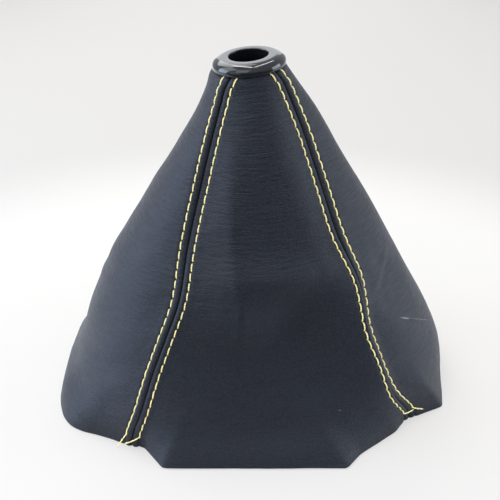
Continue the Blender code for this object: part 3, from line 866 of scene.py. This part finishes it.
thread = twisted_thread()
stitches = stitch_tree(thread)
socket_of = {item.name: item.identifier for item in stitches.interface.items_tree if item.in_out == "INPUT"}
for number, (name, (across_tail, down_tail, out_tail)) in enumerate(TAILS.items()):
    seam, panel = name.split("_stitches_")[0], name.split("_")[-1] + "_panel"
    line, outs = (values[FIRST_SEWN : LAST_SEWN + 1] for values in stitch_seats[panel][seam])
    along = run_of(line)
    count = round(along[-1] / STITCH_PITCH)
    # The rear rows stop one stitch short of the collar.
    at = (np.arange(count - seam.startswith("rear")) + 0.5) * along[-1] / count
    reach = STITCH_PITCH / 3
    way = unit(on_line(line, along, at + reach) - on_line(line, along, at - reach))
    up = on_line(outs, along, at)
    to_seam = np.cross(up[0], way[0]) * (1 if PANEL_SEAMS[panel][0] == seam else -1)
    loose = STITCH_PITCH * (across_tail * to_seam - down_tail * way[0] + out_tail * up[0])
    seats = np.concatenate([on_line(line, along, at), [line[0] + loose / 2]])
    way = np.concatenate([way, [unit(loose)]])
    up = np.concatenate([up, up[:1]])
    seats = seats + THREAD_LIFT * up
    seats[-1] += TAIL_LIFT * up[-1]
    stretch = np.ones(len(seats))
    stretch[-1] = TAIL_STRETCH * np.linalg.norm(loose) / STITCH_LENGTH
    mesh = bpy.data.meshes.new(name + "_row")
    mesh.from_pydata(seats.tolist(), [], [])
    hold(mesh, "along", "FLOAT_VECTOR", way)
    hold(mesh, "outwards", "FLOAT_VECTOR", up)
    hold(mesh, "stretch", "FLOAT", stretch)
    piece = new_piece(name + "_row", mesh)
    sewn = piece.modifiers.new("stitches", "NODES")
    sewn.node_group = stitches
    sewn[socket_of["Slant"]] = STITCH_SLANT * (1 if seam in ("front_left", "rear_right") else -1)
    sewn[socket_of["Seed"]] = number
    make_plain(piece)
    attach(piece, "root")
    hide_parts(name)

# Collar
# One ring of polished black plastic, moulded with a round rim, a nearly flat top and the lever's hole.
# Its side wall drops over the gathered leather, which stands in a groove under the top.

HOLE_RADIUS, COLLAR_RADIUS, COLLAR_HEIGHT = 0.012, 0.0222, 0.0062
RIM_ACROSS, RIM_DOWN, HOLE_ROUND, HOLE_BAND, FLAT_BAND = 0.0062, 0.0049, 0.0006, 0.0030, 0.0022
GROOVE_INNER, GROOVE_OUTER, GROOVE_ROOF, SLEEVE_FOOT = 0.0142, 0.0196, -0.0028, -0.0088
WALL_ROUND, CHAMFER = 0.0005, 0.0003
AROUND = 144
KEPT_CORNER = 50
POLISH_DARK, POLISH_PALE = (0.0070, 0.0090, 0.0110, 1), (0.0110, 0.0135, 0.0160, 1)
DUST_GREY = (0.30, 0.30, 0.30, 1)


def quarter(centre, across, down, start, end, steps):
    angles = np.radians(np.linspace(start, end, steps))
    return [(centre[0] + across * math.cos(a), centre[1] + down * math.sin(a)) for a in angles]


collar_section = [
    (HOLE_RADIUS + FLAT_BAND, 0.0),
    *quarter((COLLAR_RADIUS - RIM_ACROSS, -RIM_DOWN), RIM_ACROSS, RIM_DOWN, 90, 0, 26),
    *quarter((COLLAR_RADIUS - WALL_ROUND, WALL_ROUND - COLLAR_HEIGHT), WALL_ROUND, WALL_ROUND, 0, -90, 6),
    (GROOVE_OUTER + CHAMFER, -COLLAR_HEIGHT),
    (GROOVE_OUTER, -COLLAR_HEIGHT + CHAMFER),
    (GROOVE_OUTER, GROOVE_ROOF),
    (GROOVE_INNER, GROOVE_ROOF),
    (GROOVE_INNER, SLEEVE_FOOT + CHAMFER),
    (GROOVE_INNER - CHAMFER, SLEEVE_FOOT),
    (HOLE_RADIUS + CHAMFER, SLEEVE_FOOT),
    (HOLE_RADIUS, SLEEVE_FOOT + CHAMFER),
    (HOLE_RADIUS, -HOLE_BAND),
    *quarter((HOLE_RADIUS + HOLE_ROUND, -HOLE_ROUND), HOLE_ROUND, HOLE_ROUND, 180, 92, 7),
]
turns = np.linspace(0, 2 * math.pi, AROUND, endpoint=False)
ring = np.array([[(r * math.cos(t), r * math.sin(t), z) for r, z in collar_section] for t in turns])
ring = COLLAR_TOP + lean(ring, np.float64(1.0))
index = np.arange(ring.size // 3).reshape(ring.shape[:2])
right, below = np.roll(index, -1, axis=0), np.roll(index, -1, axis=1)
quads = np.stack([index, below, np.roll(right, -1, axis=1), right], -1)
collar_mesh = bpy.data.meshes.new("collar_ring")
collar_mesh.from_pydata(ring.reshape(-1, 3).tolist(), [], quads.reshape(-1, 4).tolist())
collar = new_piece("collar_ring", collar_mesh)
collar_mesh.shade_smooth()
corners = collar.modifiers.new("keep corners", "EDGE_SPLIT")
corners.split_angle = math.radians(KEPT_CORNER)


def polished_plastic():
    """Black plastic with a soft flow in it, fine wiping lines and a little dust."""
    made, tree, shader = shader_of("polished black plastic")
    place = node(tree, "ShaderNodeTexCoord").outputs["Object"]
    flow = noise(tree, place, 130.0, 2.0)[0]
    wiped = mapped(tree, place, Rotation=(0, 0, 0.6), Scale=(300.0, 5200.0, 300.0))
    specks = ranged(tree, noise(tree, place, 2500.0, 2.0)[0], 0.68, 0.76)
    tint = blend(tree, flow, POLISH_DARK, POLISH_PALE)
    finish(
        tree,
        shader,
        Base_Color=blend(tree, maths(tree, "MULTIPLY", specks, 0.12), tint, DUST_GREY),
        Roughness=ranged(tree, noise(tree, wiped, 1.0, 2.0)[0], 0.45, 0.75, 0.09, 0.17),
        Coat_Weight=0.35,
        Coat_Roughness=0.06,
        Normal=bump(tree, flow, 0.15, 0.00006),
    )
    return made


collar_mesh.materials.append(polished_plastic())
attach(collar, "root")
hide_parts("collar")

# Clamp ring
# A plain band of dull moulded plastic, pushed up inside the leather to hold its top edge in the groove.
# It keeps the shape of its solid, and is seen only from below.

DULL_DARK, DULL_PALE = (0.020, 0.020, 0.022, 1), (0.036, 0.036, 0.038, 1)


def moulded_plastic():
    """Black plastic straight from the mould, mottled and finely sparked."""
    made, tree, shader = shader_of("dull moulded plastic")
    place = node(tree, "ShaderNodeTexCoord").outputs["Object"]
    spark = noise(tree, place, 1800.0, 3.0)[0]
    mottle = noise(tree, place, 160.0, 2.0)[0]
    finish(
        tree,
        shader,
        Base_Color=blend(tree, mottle, DULL_DARK, DULL_PALE),
        Roughness=ranged(tree, spark, 0.3, 0.7, 0.42, 0.62),
        Normal=bump(tree, spark, 0.4, 0.00005),
    )
    return made


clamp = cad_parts["clamp_ring"]
clamp.data.materials.clear()
clamp.data.materials.append(moulded_plastic())

# Table, light and camera
# A matt white table under soft boxes at both sides and above, with the camera's own side left dark.
# The table glows a little to the camera, brightest round the boot, as an overlit product table does.

TABLE_LEVEL, TABLE_INNER, TABLE_RADIUS = -0.0003, 0.05, 3.5
RINGS, SPOKES = 24, 72
NEAR_GLOW, FAR_GLOW, FARTHEST_GLOW, GLOW_SHARE = 0.262, 0.610, 0.625, 0.62
GLOW_WHITE = (1.0, 0.992, 0.994, 1)
TABLE_WHITE, TABLE_SEEN, TABLE_DARK = (0.80, 0.80, 0.80, 1), (0.76, 0.735, 0.69, 1), (0.05, 0.05, 0.06, 1)

radii = np.geomspace(TABLE_INNER, TABLE_RADIUS, RINGS)
turns = np.linspace(0, 2 * math.pi, SPOKES, endpoint=False)
table_points = [(0, 0, TABLE_LEVEL)]
table_points += [(r * math.cos(t), r * math.sin(t), TABLE_LEVEL) for r in radii for t in turns]
table_faces = [(0, 1 + s, 1 + (s + 1) % SPOKES) for s in range(SPOKES)]
for k in range(RINGS - 1):
    a, b = 1 + k * SPOKES, 1 + (k + 1) * SPOKES
    table_faces += [(a + s, b + s, b + (s + 1) % SPOKES, a + (s + 1) % SPOKES) for s in range(SPOKES)]
table_mesh = bpy.data.meshes.new("table")
table_mesh.from_pydata(table_points, [], table_faces)
table = new_piece("table", table_mesh)


def matt_white():
    """White paint that glows to the camera, and is dark in reflections in front of the boot."""
    made, tree, shader = shader_of("matt white table")
    place = node(tree, "ShaderNodeTexCoord").outputs["Object"]
    rays = node(tree, "ShaderNodeLightPath").outputs
    smooth = {"interpolation_type": "SMOOTHSTEP"}
    away = node(tree, "ShaderNodeVectorMath", props={"operation": "LENGTH"}, _0=place).outputs["Value"]
    near = maths(tree, "MULTIPLY", ranged(tree, away, 0.275, 0.45, 1.0, 0.0, props=smooth), NEAR_GLOW)
    glow = maths(tree, "ADD", ranged(tree, away, 0.46, 0.95, FAR_GLOW, FARTHEST_GLOW), near)
    forward = node(tree, "ShaderNodeSeparateXYZ", _0=place).outputs["Y"]
    front = ranged(tree, forward, -0.30, -0.13, 1.0, 0.0, props=smooth)
    mirrored = maths(tree, "MULTIPLY", front, rays["Is Glossy Ray"])
    paint = blend(tree, rays["Is Camera Ray"], blend(tree, mirrored, TABLE_WHITE, TABLE_DARK), TABLE_SEEN)
    finish(tree, shader, Base_Color=paint, Roughness=0.9, Specular_IOR_Level=0.1)
    own = node(tree, "ShaderNodeEmission", Color=GLOW_WHITE, Strength=glow)
    share = maths(tree, "MULTIPLY", rays["Is Camera Ray"], GLOW_SHARE)
    both = node(tree, "ShaderNodeMixShader", _0=share, _1=shader.outputs[0], _2=own.outputs[0])
    tree.links.new(both.outputs[0], tree.nodes["Material Output"].inputs[0])
    return made


table_mesh.materials.append(matt_white())

WALL_GREY, WALL_SEEN, WALL_DARK = (0.594, 0.607, 0.66, 1), (0.80, 0.80, 0.79, 1), (0.04, 0.045, 0.05, 1)
world = bpy.data.worlds.new("pale room")
bpy.context.scene.world = world
world.use_nodes = True
tree = world.node_tree
# The room is dark low down on the camera's side.
way = node(tree, "ShaderNodeSeparateXYZ", _0=node(tree, "ShaderNodeTexCoord").outputs["Generated"]).outputs
forward = ranged(tree, way["Y"], -0.85, -0.25, 1.0, 0.0)
gloom = maths(tree, "MULTIPLY", forward, ranged(tree, way["Z"], 0.15, 0.50, 0.85, 0.0))
seen = node(tree, "ShaderNodeLightPath").outputs["Is Camera Ray"]
walls = blend(tree, seen, blend(tree, gloom, WALL_GREY, WALL_DARK), WALL_SEEN)
finish(tree, tree.nodes["Background"], Color=walls, Strength=1.0)

LIT_POINT = Vector((0, 0, 0.12))
BOX, STRIP, STRIP_TURN = (0.70, 0.70), (0.10, 1.00), 24
for name, place, size, radiance, tint in (
    ("left soft box", (-1.164, 0.0, 0.41), BOX, 5.6, (0.62, 0.76, 1.0)),
    ("right soft box", (1.164, 0.0, 0.41), BOX, 3.8, (0.86, 0.93, 1.0)),
    ("high left box", (-0.849, 0.0, 0.97), BOX, 2.0, (0.98, 1.0, 0.97)),
    ("high back box", (-0.424, 0.735, 0.97), BOX, 2.7, (1.0, 0.99, 0.98)),
    ("back wall", (0.0, 1.164, 0.41), BOX, 1.1, (0.98, 1.0, 1.0)),
    ("high camera side box", (-0.424, -0.735, 0.97), BOX, 1.40, (0.94, 0.98, 1.0)),
    ("low camera side box", (-0.823, -0.823, 0.41), BOX, 0.50, (0.95, 0.97, 1.0)),
    ("left ceiling strip", (-0.24, 0.42, 1.30), STRIP, 12.0, (1.0, 0.99, 0.97)),
    ("right ceiling strip", (0.24, 0.42, 1.30), STRIP, 12.0, (1.0, 0.99, 0.97)),
):
    lamp = bpy.data.lights.new(name, "AREA")
    lamp.shape = "RECTANGLE"
    lamp.size, lamp.size_y = size
    lamp.energy = radiance * math.pi * size[0] * size[1]
    lamp.color = tint
    holder = bpy.data.objects.new(name, lamp)
    holder.location = place
    holder.rotation_euler = (LIT_POINT - Vector(place)).to_track_quat("-Z", "Y").to_euler()
    if size == STRIP:
        holder.rotation_euler = (0, 0, math.radians(math.copysign(STRIP_TURN, -place[0])))
    bpy.context.scene.collection.objects.link(holder)

CAMERA_PLACE, CAMERA_PITCH, CAMERA_LENS, SENSOR = (-0.003, -0.580, 0.394), 27.5, 71.71, 36.0
lens = bpy.data.cameras.new("camera")
lens.sensor_width = SENSOR
lens.lens = CAMERA_LENS
camera = bpy.data.objects.new("camera", lens)
camera.location = CAMERA_PLACE
camera.rotation_euler = (math.radians(90 - CAMERA_PITCH), 0, 0)
bpy.context.scene.collection.objects.link(camera)
bpy.context.scene.camera = camera
bpy.context.scene.view_settings.view_transform = "Standard"
